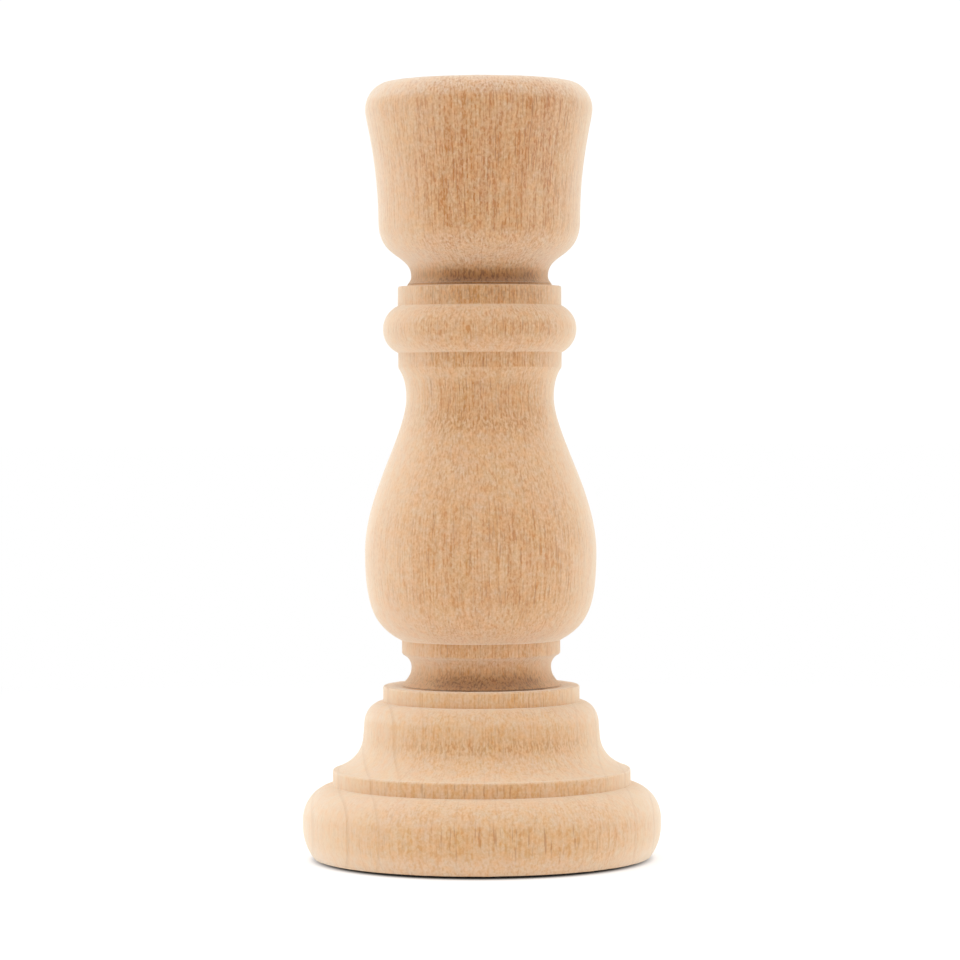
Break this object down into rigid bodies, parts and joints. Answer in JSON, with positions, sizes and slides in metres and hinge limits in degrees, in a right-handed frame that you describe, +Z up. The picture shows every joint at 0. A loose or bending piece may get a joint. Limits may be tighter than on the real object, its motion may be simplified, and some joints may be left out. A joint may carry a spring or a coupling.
{
  "type": "candlestick",
  "caption": "Turned hardwood candlestick with a stepped moulded base, a baluster stem with a beaded collar, and a flared cup with a lift-out liner for a taper candle.",
  "frame": {"origin": "centre of the felt face that stands on the table", "axes": "+Z up along the turning axis, towards the candle cup; X and Y are equal, because the piece is turned"},
  "size_m": [0.047, 0.047, 0.1016],
  "materials": {
    "turned_wood": "bare sanded maple or birch, matte, unfinished",
    "liner_brass": "spun brass, satin",
    "zinc_steel": "zinc plated, semi-bright",
    "felt": "pressed wool felt, dark brown"
  },
  "bodies": {
    "candlestick": {"stepped_base": "turned_wood", "baluster_stem": "turned_wood", "candle_cup": "turned_wood", "cup_screw": "zinc_steel", "base_screw": "zinc_steel", "felt_pad": "felt"},
    "liner": {"cup_liner": "liner_brass"}
  },
  "joints": [
    {"name": "liner_lift", "type": "slide", "parent": "candlestick", "child": "liner", "axis": [0, 0, 1], "range_m": [0, 0.018]}
  ]
}
